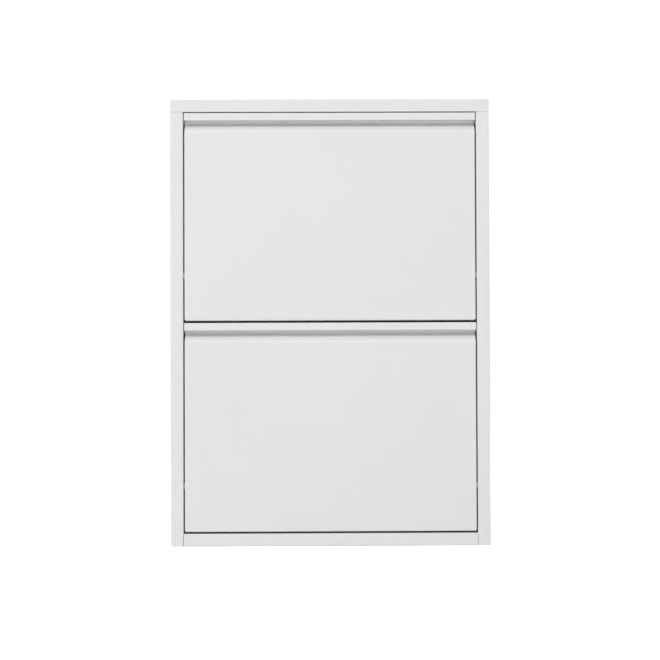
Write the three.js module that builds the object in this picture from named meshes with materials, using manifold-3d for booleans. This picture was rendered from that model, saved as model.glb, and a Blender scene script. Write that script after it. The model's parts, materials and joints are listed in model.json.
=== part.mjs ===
// A wall-standing shoe cabinet of folded steel sheet with two tilting flaps, shown closed.
// Millimetres: +X to the right, -Y to the front, +Z up; the origin is on the floor under the
// middle of the cabinet.
import * as THREE from "three";
import { mergeVertices } from "three/addons/utils/BufferGeometryUtils.js";
import Module from "manifold-3d";

const wasm = await Module();
wasm.setup();

// ---- Driving dimensions ----
const width = 500;
const depth = 150;
const height = 700;
const sheet = 0.8; // steel sheet of every folded panel
const touch = 0.3; // gap between two pieces that rest on each other
const bend = 1.4; // bend radius at the middle of the sheet

const capHeight = 19.5; // front edge of the top panel
const baseHeight = 20; // front edge of the bottom panel
const stile = 20; // front face of each side panel
const returnDepth = 30; // side panel's inner return, behind its front face
const flangeWidth = 20; // flanges round the underside of the top panel

const topGap = 1.6; // above the upper flap
const middleGap = 3.4; // between the flaps
const bottomGap = 3; // under the lower flap
const sideGap = 2; // beside each flap

const pivotHeight = 71; // hinge axis above a flap's bottom edge
const pivotDepth = 8; // hinge axis behind the front
const pinRadius = 2.5;

// ---- Sizes worked out from them ----
const front = -depth / 2;
const back = depth / 2;
const sideX = width / 2;
const openingX = sideX - stile; // half the opening between the side panels
const capZ = height - capHeight; // underside of the top panel
const flapHeight = (capZ - baseHeight - topGap - middleGap - bottomGap) / 2;
const flapX = openingX - sideGap; // half a flap's width
const pivotY = front + pivotDepth;
const lowerPivotZ = baseHeight + bottomGap + pivotHeight;
const upperPivotZ = lowerPivotZ + flapHeight + middleGap;
const half = sheet / 2;

// ---- Materials ----
const steelWhite = new THREE.MeshStandardMaterial({ color: 0xececea, roughness: 0.45, metalness: 0 });
const nylonWhite = new THREE.MeshStandardMaterial({ color: 0xe2e0d8, roughness: 0.5, metalness: 0 });
const rubberGrey = new THREE.MeshStandardMaterial({ color: 0x8c8c8a, roughness: 0.8, metalness: 0 });
const zincPlate = new THREE.MeshStandardMaterial({ color: 0xb8bcc0, roughness: 0.35, metalness: 1 });

// ---- Shape helpers ----

// The outline of a strip of sheet that follows a path of [u, v, bend radius] points.
function stripOutline(path, thickness = sheet, steps = 4) {
  const points = path.map(([u, v]) => new THREE.Vector2(u, v));
  const directions = points.slice(1).map((p, i) => p.clone().sub(points[i]).normalize());
  const leftOf = (d) => new THREE.Vector2(-d.y, d.x);
  const left = [];
  const right = [];
  const addPair = (centre, normal) => {
    left.push(centre.clone().addScaledVector(normal, thickness / 2));
    right.unshift(centre.clone().addScaledVector(normal, -thickness / 2));
  };
  points.forEach((point, i) => {
    const into = directions[i - 1];
    const away = directions[i];
    if (!into || !away) {
      addPair(point, leftOf(into ?? away));
      return;
    }
    const turn = Math.atan2(into.cross(away), into.dot(away));
    const radius = path[i][2];
    const tangent = radius * Math.tan(Math.abs(turn) / 2);
    const start = point.clone().addScaledVector(into, -tangent);
    const normal = leftOf(into);
    const centre = start.clone().addScaledVector(normal, radius * Math.sign(turn));
    for (let step = 0; step <= steps; step++) {
      const angle = (turn * step) / steps;
      const spot = start.clone().rotateAround(centre, angle);
      addPair(spot, normal.clone().rotateAround(new THREE.Vector2(), angle));
    }
  });
  return [...left, ...right];
}

// A closed outline with each corner of [u, v, radius] rounded.
function roundedOutline(corners, steps = 4) {
  const spots = corners.map(([u, v]) => new THREE.Vector2(u, v));
  const count = spots.length;
  return corners.flatMap(([, , radius = 0], i) => {
    if (!radius) return [spots[i]];
    const into = spots[i].clone().sub(spots[(i + count - 1) % count]).normalize();
    const away = spots[(i + 1) % count].clone().sub(spots[i]).normalize();
    const turn = Math.atan2(into.cross(away), into.dot(away));
    const tangent = radius * Math.tan(Math.abs(turn) / 2);
    const start = spots[i].clone().addScaledVector(into, -tangent);
    const normal = new THREE.Vector2(-into.y, into.x);
    const centre = start.clone().addScaledVector(normal, radius * Math.sign(turn));
    return Array.from({ length: steps + 1 }, (_, step) =>
      start.clone().rotateAround(centre, (turn * step) / steps),
    );
  });
}

const unitX = new THREE.Vector3(1, 0, 0);
const unitY = new THREE.Vector3(0, 1, 0);
const unitZ = new THREE.Vector3(0, 0, 1);

// Outlines are (y, z) when drawn out along X, (x, z) along Y and (x, y) along Z.
function extruded(outline, axis, from, to) {
  const shape = new THREE.Shape(outline);
  const geometry = new THREE.ExtrudeGeometry(shape, { depth: to - from, bevelEnabled: false });
  if (axis === "x") {
    geometry.applyMatrix4(new THREE.Matrix4().makeBasis(unitY, unitZ, unitX));
    return geometry.translate(from, 0, 0);
  }
  if (axis === "y") {
    const turned = new THREE.Matrix4().makeBasis(unitX, unitZ, unitY.clone().negate());
    return geometry.applyMatrix4(turned).translate(0, to, 0);
  }
  return geometry.translate(0, 0, from);
}

// A box between two corners.
function block(low, high) {
  const size = high.map((value, i) => value - low[i]);
  const middle = high.map((value, i) => (value + low[i]) / 2);
  return new THREE.BoxGeometry(...size).translate(...middle);
}

// A round drill along an axis, for cutting a hole.
function drill(axis, radius, centre, length = 12, sides = 16) {
  const geometry = new THREE.CylinderGeometry(radius, radius, length, sides);
  if (axis === "x") geometry.rotateZ(Math.PI / 2);
  if (axis === "z") geometry.rotateX(Math.PI / 2);
  return geometry.translate(...centre);
}

// A turned piece whose profile is [radius, distance along X].
function turned(profile, sides = 16) {
  const points = profile.map(([radius, along]) => new THREE.Vector2(radius, along));
  return new THREE.LatheGeometry(points, sides).rotateZ(-Math.PI / 2);
}

function solidOf(geometry) {
  const bare = geometry.clone();
  bare.deleteAttribute("normal");
  bare.deleteAttribute("uv");
  const merged = mergeVertices(bare, 1e-4);
  return new wasm.Manifold(
    new wasm.Mesh({
      numProp: 3,
      vertProperties: new Float32Array(merged.attributes.position.array),
      triVerts: new Uint32Array(merged.index.array),
    }),
  );
}

function geometryOf(solid) {
  const mesh = solid.getMesh();
  const geometry = new THREE.BufferGeometry();
  geometry.setAttribute("position", new THREE.BufferAttribute(mesh.vertProperties, 3));
  geometry.setIndex(new THREE.BufferAttribute(mesh.triVerts, 1));
  geometry.computeVertexNormals();
  return geometry;
}

const join = (...pieces) => geometryOf(pieces.map(solidOf).reduce((all, one) => all.add(one)));
const cut = (piece, ...tools) =>
  geometryOf(tools.map(solidOf).reduce((rest, tool) => rest.subtract(tool), solidOf(piece)));
const overlap = (...pieces) =>
  geometryOf(pieces.map(solidOf).reduce((all, one) => all.intersect(one)));

function add(group, name, geometry, material, [x, y, z] = [0, 0, 0]) {
  const mesh = new THREE.Mesh(geometry, material);
  mesh.name = name;
  mesh.position.set(x, y, z);
  group.add(mesh);
  return mesh;
}

const sides = [
  ["left", -1],
  ["right", 1],
];
const flaps = [
  ["lower", lowerPivotZ],
  ["upper", upperPivotZ],
];

// ---- Shared fastener sizes ----
const screw = { shank: 2, head: 3.8, headHeight: 2.2, hole: 2.3, length: 7 };
const bracket = { thickness: 1.2, leg: 17, length: 90, middleY: 7.5, screwSpacing: 60, screwX: 240 };
const seatDepth = 4; // the back panel lies this far inside the back edges, with its screw heads
const seatY = back - seatDepth; // back face of the flanges that carry the back panel
const jogWidth = 6; // side panel's strip against the wall
const backScrewX = 236.5;
const backScrewZ = [60, 350, 640];
const baseScrew = { x: 120, z: 10 };
const bush = { flange: 5, barrel: 4, lip: 4.6, bore: pinRadius + 0.15, hole: 4.3 };

// ---- Side panels: one folded sheet each, with lanced stop tabs for the flaps ----
const tab = { height: 15, reach: 11, behindGrip: 2.1 };
const gripDepth = 16; // back of a flap's grip recess, behind the front
const flapTop = flapHeight - pivotHeight; // above the hinge axis

function sidePanel() {
  const returnX = openingX + half;
  const webX = sideX - half;
  const jogX = sideX - jogWidth;
  const path = [
    [returnX, front + returnDepth],
    [returnX, front + half, bend],
    [webX, front + half, bend],
    [webX, back - half, bend],
    [jogX, back - half, 1],
    [jogX, seatY - half, 1],
    [returnX, seatY - half, bend],
    [returnX, seatY - 11],
  ];
  const panel = extruded(stripOutline(path), "z", 0, capZ - touch);
  const tabY = front + gripDepth + tab.behindGrip;
  const tabs = [];
  const tools = backScrewZ.map((z) => drill("y", screw.hole, [backScrewX, seatY, z]));
  for (const [, pivotZ] of flaps) {
    const top = pivotZ + flapTop;
    tabs.push(
      block(
        [openingX - tab.reach, tabY, top - tab.height + touch],
        [openingX + sheet, tabY + sheet, top - touch],
      ),
    );
    tools.push(
      block(
        [openingX - 1, tabY + sheet, top - tab.height],
        [openingX + 2, front + returnDepth + 1, top],
      ),
      drill("x", bush.hole, [openingX, pivotY, pivotZ], 6, 24),
    );
  }
  return join(cut(panel, ...tools), ...tabs);
}

// The left piece is the right one reflected, with its triangles turned to face out again.
function mirrored(geometry) {
  const copy = geometry.clone().scale(-1, 1, 1);
  const index = copy.index.array;
  for (let i = 0; i < index.length; i += 3) [index[i + 1], index[i + 2]] = [index[i + 2], index[i + 1]];
  copy.computeVertexNormals();
  return copy;
}

// ---- Top panel: a shallow tray turned over, with flanges round its underside ----
function topPanel() {
  const outer = (inset) => {
    const x = sideX - inset;
    const y = back - inset;
    const z = height - inset;
    const round = 1.8 - inset;
    const low = inset ? capZ + inset : capZ;
    const overEnds = roundedOutline([[-x, low], [x, low], [x, z, round], [-x, z, round]]);
    const overEdges = roundedOutline([[-y, low], [y, low], [y, z, round], [-y, z, round]]);
    const plan = roundedOutline([[-x, -y, round], [x, -y, round], [x, y, round], [-x, y, round]]);
    return overlap(
      extruded(overEnds, "y", -y, y),
      extruded(overEdges, "x", -x, x),
      extruded(plan, "z", low, z),
    );
  };
  const mouth = [sideX - flangeWidth, back - flangeWidth];
  const holes = sides.flatMap(([, side]) =>
    bracketScrewY.map((y) => drill("z", screw.hole, [side * bracket.screwX, y, capZ])),
  );
  const opening = block([-mouth[0], -mouth[1], capZ - 1], [mouth[0], mouth[1], capZ + 2]);
  return cut(outer(0), outer(sheet), opening, ...holes);
}

const bracketScrewY = [-1, 1].map((end) => bracket.middleY + (end * bracket.screwSpacing) / 2);

// ---- Bottom panel: folded channel, notched round the side panels' returns ----
function bottomPanel() {
  const lip = 12;
  const path = [
    [front + lip, half],
    [front + half, half, bend],
    [front + half, baseHeight - half, bend],
    [seatY - half, baseHeight - half, bend],
    [seatY - half, half, bend],
    [seatY - lip, half],
  ];
  const wideX = sideX - sheet - touch;
  const narrowX = openingX - touch;
  const channel = extruded(stripOutline(path), "x", -wideX, wideX);
  const tools = [];
  for (const [, side] of sides) {
    const xs = [side * narrowX, side * (wideX + 1)].sort((a, b) => a - b);
    tools.push(
      block([xs[0], front - 1, -1], [xs[1], front + returnDepth + 1, baseHeight + 1]),
      block([xs[0], seatY - 12, -1], [xs[1], seatY + 1, baseHeight + 1]),
    );
    for (const y of bracketScrewY) {
      tools.push(drill("z", screw.hole, [side * bracket.screwX, y, baseHeight]));
    }
    tools.push(drill("y", screw.hole, [side * baseScrew.x, seatY, baseScrew.z]));
  }
  return cut(channel, ...tools);
}

// ---- Back panel: flat sheet with screw holes and four wall-fixing holes ----
const backLowZ = 2;
const backHighZ = capZ - 2 * touch;
const wallHole = { radius: 3.5, x: 180, z: [80, 640] };

function backPanel() {
  const x = sideX - jogWidth - half - 2 * touch;
  const outline = roundedOutline([
    [-x, backLowZ, 2],
    [x, backLowZ, 2],
    [x, backHighZ, 2],
    [-x, backHighZ, 2],
  ]);
  const plate = extruded(outline, "y", seatY + touch, seatY + touch + sheet);
  const holes = sides.flatMap(([, side]) => [
    ...backScrewZ.map((z) => drill("y", screw.hole, [side * backScrewX, seatY, z])),
    ...wallHole.z.map((z) => drill("y", wallHole.radius, [side * wallHole.x, seatY, z])),
    drill("y", screw.hole, [side * baseScrew.x, seatY, baseScrew.z]),
  ]);
  return cut(plate, ...holes);
}

// ---- Corner brackets: one leg hangs down the side panel's web, the other takes two screws ----
function cornerBracket() {
  const middle = bracket.thickness / 2;
  const webX = sideX - sheet - touch - middle;
  const path = [
    [webX, -bracket.leg],
    [webX, -middle, bracket.thickness],
    [webX - bracket.leg + middle, -middle],
  ];
  const low = bracket.middleY - bracket.length / 2;
  const angle = extruded(stripOutline(path, bracket.thickness), "y", low, low + bracket.length);
  return cut(angle, ...bracketScrewY.map((y) => drill("z", screw.hole, [bracket.screwX, y, 0])));
}

// ---- Screw: pan head, its seat at the origin and its tip along +X ----
function panScrew() {
  return turned(
    [
      [0, -screw.headHeight],
      [screw.head - 1, -screw.headHeight],
      [screw.head, -1],
      [screw.head, 0],
      [screw.shank, 0],
      [screw.shank, screw.length],
      [0, screw.length],
    ],
    12,
  );
}

// ---- Flap pieces, all in the flap's own frame with the hinge axis as its X axis ----
const flapFront = -pivotDepth;
const flapBottom = -pivotHeight;
// Heights below the flap's top edge, the overlap of the front sheet and its channel, the hem, and
// how far the lip overhangs and the channel's wall stops short of the face's side edges.
const grip = {
  lip: 12,
  slopeLow: 29,
  slopeHigh: 15.5,
  flangeTop: 22,
  seam: 8,
  hem: 5,
  lipOverhang: 0.4,
  wallInset: 1.2,
};
const gripBend = { low: 6, high: 3, top: 1.4, hem: 0.6 };
const flange = { depth: 24, bottomDepth: 18 };
const cheek = { thickness: 1 };
const cheekX = flapX - sheet - touch; // outer face of a cheek

const faceY = flapFront + half;
const gripY = flapFront + gripDepth - half;
const wallX = flapX - grip.wallInset;

function flapSheet() {
  const slopeTop = flapTop - grip.slopeHigh;
  const slopeBottom = flapTop - grip.slopeLow;
  const recessPath = [
    [faceY, slopeBottom - 10],
    [faceY, slopeBottom, gripBend.low],
    [gripY - sheet - touch, slopeTop, gripBend.high],
    [gripY - sheet - touch, slopeTop + grip.seam],
  ];
  const bottomPath = [
    [flapFront + flange.bottomDepth, flapBottom + half],
    [faceY, flapBottom + half, bend],
    [faceY, flapBottom + 6],
  ];
  const facePath = [
    [-flapX + half, flapFront + flange.depth],
    [-flapX + half, faceY, bend],
    [flapX - half, faceY, bend],
    [flapX - half, flapFront + flange.depth],
  ];
  // The side flanges run on up behind the slope and close the recess's ends.
  const flangeBack = flapFront + flange.depth;
  const flangeTopZ = flapTop - grip.flangeTop;
  const sideOutline = [
    [faceY + bend, slopeBottom - 8],
    [flangeBack, slopeBottom - 8],
    [flangeBack, flangeTopZ],
    [faceY + 9.5, flangeTopZ],
    [faceY + bend, slopeBottom - 1],
  ].map(([y, z]) => new THREE.Vector2(y, z));
  const innerX = flapX - sheet - touch;
  const joined = join(
    extruded(stripOutline(facePath), "z", flapBottom + bend + half, slopeBottom - 6),
    extruded(stripOutline(recessPath, sheet, 6), "x", -flapX + half, flapX - half),
    extruded(stripOutline(bottomPath), "x", -innerX, innerX),
    extruded(sideOutline, "x", flapX - sheet, flapX),
    extruded(sideOutline, "x", -flapX, -flapX + sheet),
  );
  const pinHoles = sides.map(([, side]) => drill("x", pinRadius + touch, [side * flapX, 0, 0], 6));
  return cut(joined, ...pinHoles);
}

// The folded channel that closes the recess above: its wall stands behind the front sheet's edge,
// and its lip hangs in front.
function gripChannel() {
  const topZ = flapTop - half;
  const hemY = faceY + 2 * gripBend.hem;
  const hemZ = flapTop - grip.lip + half;
  const wallPath = [
    [gripY, flapTop - grip.slopeHigh],
    [gripY, topZ, gripBend.top],
    [faceY + 4, topZ],
  ];
  const lipPath = [
    [gripY - 3, topZ],
    [faceY, topZ, gripBend.top],
    [faceY, hemZ, gripBend.hem],
    [hemY, hemZ, gripBend.hem],
    [hemY, hemZ + grip.hem],
  ];
  const lipX = flapX + grip.lipOverhang;
  return join(
    extruded(stripOutline(wallPath), "x", -wallX, wallX),
    extruded(stripOutline(lipPath), "x", -lipX, lipX),
  );
}

// Rods across the flap: the lower one runs past the cheeks and stops the flap on the returns.
const rod = {
  radius: 3,
  lower: [flapFront + 119, flapBottom + 162],
  upper: [flapFront + 103, flapBottom + 216],
  stopX: openingX + 6,
};
const sleeve = { outer: 4.5, from: flapX + touch, to: openingX + 6 };

function flapCheek() {
  const rim = 11; // cheek beyond a rod's centre
  const [lowerY, lowerZ] = rod.lower;
  const [upperY, upperZ] = rod.upper;
  const frontEdge = flapFront + half + bend;
  const footZ = flapBottom + 4;
  const headZ = flapBottom + 276;
  const outline = roundedOutline([
    [frontEdge, footZ, 3],
    [flapFront + 71, footZ, 24],
    [lowerY + 13, flapBottom + 56, 30],
    [lowerY + rim, lowerZ + 6, 20],
    [upperY + rim, upperZ + rim, 14],
    [upperY - 18, upperZ + rim + 2, 30],
    [flapFront + flange.depth, headZ, 12],
    [frontEdge, headZ, 3],
  ], 6);
  const plate = extruded(outline, "x", cheekX - cheek.thickness, cheekX);
  return cut(
    plate,
    drill("x", pinRadius + touch, [cheekX, 0, 0]),
    drill("x", rod.radius + touch, [cheekX, lowerY, lowerZ]),
    drill("x", rod.radius + touch, [cheekX, upperY, upperZ]),
  );
}

function shoeTray() {
  const flangeY = flapFront + sheet + touch + half;
  const floorZ = flapBottom + 10;
  const heelY = flapFront + 123;
  const rimZ = flapBottom + 110;
  const hem = { bend: 0.6, length: 7 };
  const path = [
    [flangeY, floorZ + 26],
    [flangeY, floorZ, 3],
    [flapFront + 63, floorZ, 14],
    [heelY, floorZ + 50, 14],
    [heelY, rimZ, hem.bend],
    [heelY - 2 * hem.bend, rimZ, hem.bend],
    [heelY - 2 * hem.bend, rimZ - hem.length],
  ];
  const x = cheekX - cheek.thickness - touch;
  return extruded(stripOutline(path), "x", -x, x);
}

function crossRod(halfLength) {
  return turned(
    [
      [0, -halfLength],
      [rod.radius, -halfLength],
      [rod.radius, halfLength],
      [0, halfLength],
    ],
  );
}

function pivotPin() {
  const seat = cheekX - cheek.thickness - touch;
  const headRadius = 4.5;
  return turned([
    [0, seat - 2],
    [headRadius, seat - 2],
    [headRadius, seat],
    [pinRadius, seat],
    [pinRadius, openingX + 4.5],
    [0, openingX + 4.5],
  ]);
}

function pivotBush() {
  const inner = flapX + touch;
  const seat = openingX - touch;
  return turned([
    [bush.bore, inner],
    [bush.flange, inner],
    [bush.flange, seat],
    [bush.barrel, seat],
    [bush.barrel, openingX + sheet + touch],
    [bush.lip, openingX + sheet + touch],
    [bush.barrel, openingX + 3.2],
    [bush.bore, openingX + 3.2],
    [bush.bore, inner],
  ]);
}

function stopSleeve() {
  const inner = rod.radius + touch;
  return turned(
    [
      [inner, sleeve.from],
      [sleeve.outer, sleeve.from],
      [sleeve.outer, sleeve.to],
      [inner, sleeve.to],
      [inner, sleeve.from],
    ],
  );
}

// A flat buffer on the front of a stop tab, which the closed flap's grip rests on.
function closingBuffer() {
  return new THREE.CylinderGeometry(3.6, 3.2, tab.behindGrip - 2 * touch, 16);
}

// ---- Assembly ----
const cabinet = new THREE.Group();

add(cabinet, "top_panel", topPanel(), steelWhite);
add(cabinet, "bottom_panel", bottomPanel(), steelWhite);
add(cabinet, "back_panel", backPanel(), steelWhite);

const bothSides = (geometry) => ({ left: mirrored(geometry), right: geometry });
const panels = bothSides(sidePanel());
const brackets = bothSides(cornerBracket());
const screwShape = panScrew();

// Turns a screw's +X to point up, down or to the front.
const pointUp = [0, -Math.PI / 2, 0];
const pointDown = [0, Math.PI / 2, 0];
const pointFront = [0, 0, -Math.PI / 2];

function addScrew(name, position, rotation) {
  add(cabinet, name, screwShape, zincPlate, position).rotation.set(...rotation);
}

const topLegZ = capZ - touch; // top of the upper brackets' screw legs
const bottomLegZ = baseHeight - sheet - touch; // top of the lower brackets' screw legs

for (const [side, sign] of sides) {
  add(cabinet, `side_panel_${side}`, panels[side], steelWhite);
  add(cabinet, `corner_bracket_top_${side}`, brackets[side], steelWhite, [0, 0, topLegZ]);
  add(cabinet, `corner_bracket_bottom_${side}`, brackets[side], steelWhite, [0, 0, bottomLegZ]);
  bracketScrewY.forEach((y, i) => {
    const spot = i ? "rear" : "front";
    const x = sign * bracket.screwX;
    addScrew(`top_screw_${side}_${spot}`, [x, y, topLegZ - bracket.thickness - touch], pointUp);
    addScrew(`bottom_screw_${side}_${spot}`, [x, y, baseHeight + touch], pointDown);
  });
  const headY = seatY + sheet + 2 * touch;
  backScrewZ.forEach((z, i) => {
    const level = ["low", "middle", "high"][i];
    addScrew(`back_screw_${side}_${level}`, [sign * backScrewX, headY, z], pointFront);
  });
  addScrew(`back_screw_${side}_base`, [sign * baseScrew.x, headY, baseScrew.z], pointFront);
}

const cheeks = bothSides(flapCheek());

for (const [level, pivotZ] of flaps) {
  const flap = new THREE.Group();
  flap.position.set(0, pivotY, pivotZ);
  cabinet.add(flap);
  add(flap, `${level}_flap_front`, flapSheet(), steelWhite);
  add(flap, `${level}_grip_channel`, gripChannel(), steelWhite);
  add(flap, `${level}_shoe_tray`, shoeTray(), steelWhite);
  add(flap, `${level}_stop_rod`, crossRod(rod.stopX), steelWhite, [0, ...rod.lower]);
  add(flap, `${level}_retaining_rod`, crossRod(cheekX + 0.5), steelWhite, [0, ...rod.upper]);
  const bufferY = front + gripDepth + tab.behindGrip / 2;
  const bufferZ = pivotZ + flapTop - tab.height / 2;
  for (const [side, sign] of sides) {
    const turn = sign > 0 ? 0 : Math.PI; // the left pieces are the right ones turned about Z
    add(flap, `${level}_cheek_${side}`, cheeks[side], steelWhite);
    add(flap, `${level}_pivot_pin_${side}`, pivotPin(), zincPlate).rotation.z = turn;
    add(flap, `${level}_stop_sleeve_${side}`, stopSleeve(), rubberGrey, [0, ...rod.lower]).rotation.z = turn;
    add(cabinet, `${level}_pivot_bush_${side}`, pivotBush(), nylonWhite, [0, pivotY, pivotZ]).rotation.z = turn;
    const buffer = [sign * (openingX - 7), bufferY, bufferZ];
    add(cabinet, `${level}_closing_buffer_${side}`, closingBuffer(), rubberGrey, buffer);
  }
}

export default cabinet;
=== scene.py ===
# Shoe cabinet of folded white steel sheet with two tilting flaps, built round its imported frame.
# Blender works in metres; the pieces below are sized in millimetres and scaled once.
import json
import math

import bmesh
import bpy
from mathutils import Matrix, Vector


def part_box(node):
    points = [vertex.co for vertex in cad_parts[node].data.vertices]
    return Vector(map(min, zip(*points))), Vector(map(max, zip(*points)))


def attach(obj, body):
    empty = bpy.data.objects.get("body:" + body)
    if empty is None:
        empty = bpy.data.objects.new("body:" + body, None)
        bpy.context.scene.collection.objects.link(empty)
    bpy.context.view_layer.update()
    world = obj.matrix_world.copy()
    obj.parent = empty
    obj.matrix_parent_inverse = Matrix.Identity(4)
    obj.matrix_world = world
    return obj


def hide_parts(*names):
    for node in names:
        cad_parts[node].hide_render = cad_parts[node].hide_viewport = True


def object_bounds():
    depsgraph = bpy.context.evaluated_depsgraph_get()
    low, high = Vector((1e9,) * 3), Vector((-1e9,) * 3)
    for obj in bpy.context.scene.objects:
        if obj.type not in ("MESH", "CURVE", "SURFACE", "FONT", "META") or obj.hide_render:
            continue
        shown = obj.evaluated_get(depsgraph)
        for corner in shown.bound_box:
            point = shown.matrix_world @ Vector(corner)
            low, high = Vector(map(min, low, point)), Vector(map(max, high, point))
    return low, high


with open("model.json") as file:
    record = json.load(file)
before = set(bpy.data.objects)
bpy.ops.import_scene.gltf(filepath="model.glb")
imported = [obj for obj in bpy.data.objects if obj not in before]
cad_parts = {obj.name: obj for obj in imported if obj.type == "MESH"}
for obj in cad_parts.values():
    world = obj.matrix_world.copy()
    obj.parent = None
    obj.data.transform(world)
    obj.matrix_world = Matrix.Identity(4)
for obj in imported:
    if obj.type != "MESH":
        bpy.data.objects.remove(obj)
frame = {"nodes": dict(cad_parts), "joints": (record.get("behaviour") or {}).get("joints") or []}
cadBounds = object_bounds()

mm = 0.001
scene = bpy.context.scene


def report(stage):
    print(f"shoe cabinet: {stage}")


# Where the frame puts things, in millimetres.
def boxOf(node):
    low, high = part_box(node)
    return low / mm, high / mm


def middleOf(node):
    low, high = boxOf(node)
    return (low + high) / 2


cabinetLow, cabinetHigh = (corner / mm for corner in cadBounds)
hinges = {joint["child"]: Vector(joint["pos_m"]) / mm for joint in frame["joints"]}
levels = {"lower": hinges["lower_flap"], "upper": hinges["upper_flap"]}
sides = {"left": -1, "right": 1}

# What the sheet pieces share: gauge, gap between touching pieces, usual bend, stile and soft edge.
stock = {"sheet": 0.8, "gap": 0.3, "bend": 1.4, "stile": 20, "edge": 0.16}
half = stock["sheet"] / 2
front, back = cabinetLow.y, cabinetHigh.y
sideX = cabinetHigh.x
openingX = sideX - stock["stile"]
past = 1  # how far a cut or an overlap runs on past the sheet
samePlace = 0.001 * mm  # corners this near are one
sharpAngle = math.radians(40)  # edges that turn more than this are rounded


def place(tree, kind, inputs=(), **settings):
    # Adds a node, sets its properties, then links or sets its inputs by name or number.
    made = tree.nodes.new(kind)
    for key, value in settings.items():
        setattr(made, key, value)
    for name, value in dict(inputs).items():
        socket = made.inputs[name]
        if isinstance(value, bpy.types.NodeSocket):
            tree.links.new(value, socket)
        else:
            socket.default_value = value
    return made


def startTree(name, kind, inputs, outputs):
    # inputs are (name, socket type, default), outputs are (name, socket type).
    tree = bpy.data.node_groups.new(name, kind)
    for label, socketType, default in inputs:
        socket = tree.interface.new_socket(label, in_out="INPUT", socket_type="NodeSocket" + socketType)
        if default is not None:
            socket.default_value = default
    for label, socketType in outputs:
        tree.interface.new_socket(label, in_out="OUTPUT", socket_type="NodeSocket" + socketType)
    given = tree.nodes.new("NodeGroupInput").outputs
    result = tree.nodes.new("NodeGroupOutput").inputs
    return tree, given, result


def useTree(obj, tree, values):
    # Adds a Geometry Nodes modifier and sets its inputs by their sockets' identifiers.
    modifier = obj.modifiers.new(tree.name, "NODES")
    modifier.node_group = tree
    for item in tree.interface.items_tree:
        if item.in_out == "INPUT" and item.name in values:
            modifier[item.identifier] = values[item.name]


def multiply(tree, first, second, kind="ShaderNodeMath"):
    return place(tree, kind, {0: first, 1: second}, operation="MULTIPLY").outputs[0]


def multiplyAdd(tree, first, second, added):
    return place(tree, "ShaderNodeMath", {0: first, 1: second, 2: added}, operation="MULTIPLY_ADD").outputs[0]


def remap(tree, value, fromLow, fromHigh, toLow=0.0, toHigh=1.0):
    limits = {"Value": value, "From Min": fromLow, "From Max": fromHigh, "To Min": toLow, "To Max": toHigh}
    return place(tree, "ShaderNodeMapRange", limits).outputs["Result"]


def noise(tree, coords, scale, detail, roughness=0.5):
    settings = {"Vector": coords, "Scale": scale, "Detail": detail, "Roughness": roughness}
    return place(tree, "ShaderNodeTexNoise", settings).outputs["Fac"]


def makeGrainTree():
    # Fine texture height, slow drift and sparse specks, all on Object coordinates.
    tree, given, result = startTree(
        "surfaceGrain",
        "ShaderNodeTree",
        [
            ("Fine Scale", "Float", 900.0),
            ("Drift Scale", "Float", 6.0),
            ("Speck Scale", "Float", 120.0),
            ("Stretch", "Vector", (1.0, 1.0, 1.0)),
        ],
        [("Height", "Float"), ("Drift", "Float"), ("Speck", "Float")],
    )
    coords = place(tree, "ShaderNodeTexCoord").outputs["Object"]
    drawn = multiply(tree, coords, given["Stretch"], "ShaderNodeVectorMath")
    fine = noise(tree, drawn, given["Fine Scale"], 2.0, 0.45)
    drift = noise(tree, coords, given["Drift Scale"], 3.0)
    cells = place(tree, "ShaderNodeTexVoronoi", {"Vector": coords, "Scale": given["Speck Scale"]})
    speck = remap(tree, cells.outputs["Distance"], 0.05, 0.09, 1.0, 0.0)
    tree.links.new(fine, result["Height"])
    tree.links.new(drift, result["Drift"])
    tree.links.new(speck, result["Speck"])
    return tree


def makeRubTree():
    # Where a worn edge shows: the rounded edge faces, broken up by noise.
    tree, given, result = startTree(
        "edgeRub",
        "ShaderNodeTree",
        [("Amount", "Float", 0.5), ("Breakup Scale", "Float", 60.0)],
        [("Rub", "Float")],
    )
    edge = place(tree, "ShaderNodeAttribute", attribute_name="edgeRub", attribute_type="GEOMETRY")
    coords = place(tree, "ShaderNodeTexCoord").outputs["Object"]
    broken = remap(tree, noise(tree, coords, given["Breakup Scale"], 4.0), 0.42, 0.62)
    masked = multiply(tree, edge.outputs["Fac"], broken)
    tree.links.new(multiply(tree, masked, given["Amount"]), result["Rub"])
    return tree


def makeDustTree():
    # A thin film on faces that look up.
    tree, given, result = startTree(
        "settledDust",
        "ShaderNodeTree",
        [("Amount", "Float", 0.3), ("Patch Scale", "Float", 18.0)],
        [("Dust", "Float")],
    )
    coords = place(tree, "ShaderNodeTexCoord")
    split = place(tree, "ShaderNodeSeparateXYZ", {0: coords.outputs["Normal"]})
    upward = remap(tree, split.outputs["Z"], 0.6, 1.0)
    film = remap(tree, noise(tree, coords.outputs["Object"], given["Patch Scale"], 5.0), 0.35, 0.75)
    tree.links.new(multiply(tree, multiply(tree, upward, film), given["Amount"]), result["Dust"])
    return tree


grainTree = makeGrainTree()
rubTree = makeRubTree()
dustTree = makeDustTree()


def startMaterial(name, uniform):
    # A material with its Principled shader, whose even values are set on its own sockets.
    material = bpy.data.materials.new(name)
    material.use_nodes = True
    tree = material.node_tree
    shader = tree.nodes["Principled BSDF"]
    for socket, value in uniform.items():
        shader.inputs[socket].default_value = value
    return material, tree, shader


def groupIn(tree, group, values):
    return place(tree, "ShaderNodeGroup", values, node_tree=group)


def blendColour(tree, mask, first, second):
    # Sockets 6 and 7 of a colour Mix are its two colours.
    return place(tree, "ShaderNodeMix", {0: mask, 6: first, 7: second}, data_type="RGBA").outputs[2]


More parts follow.
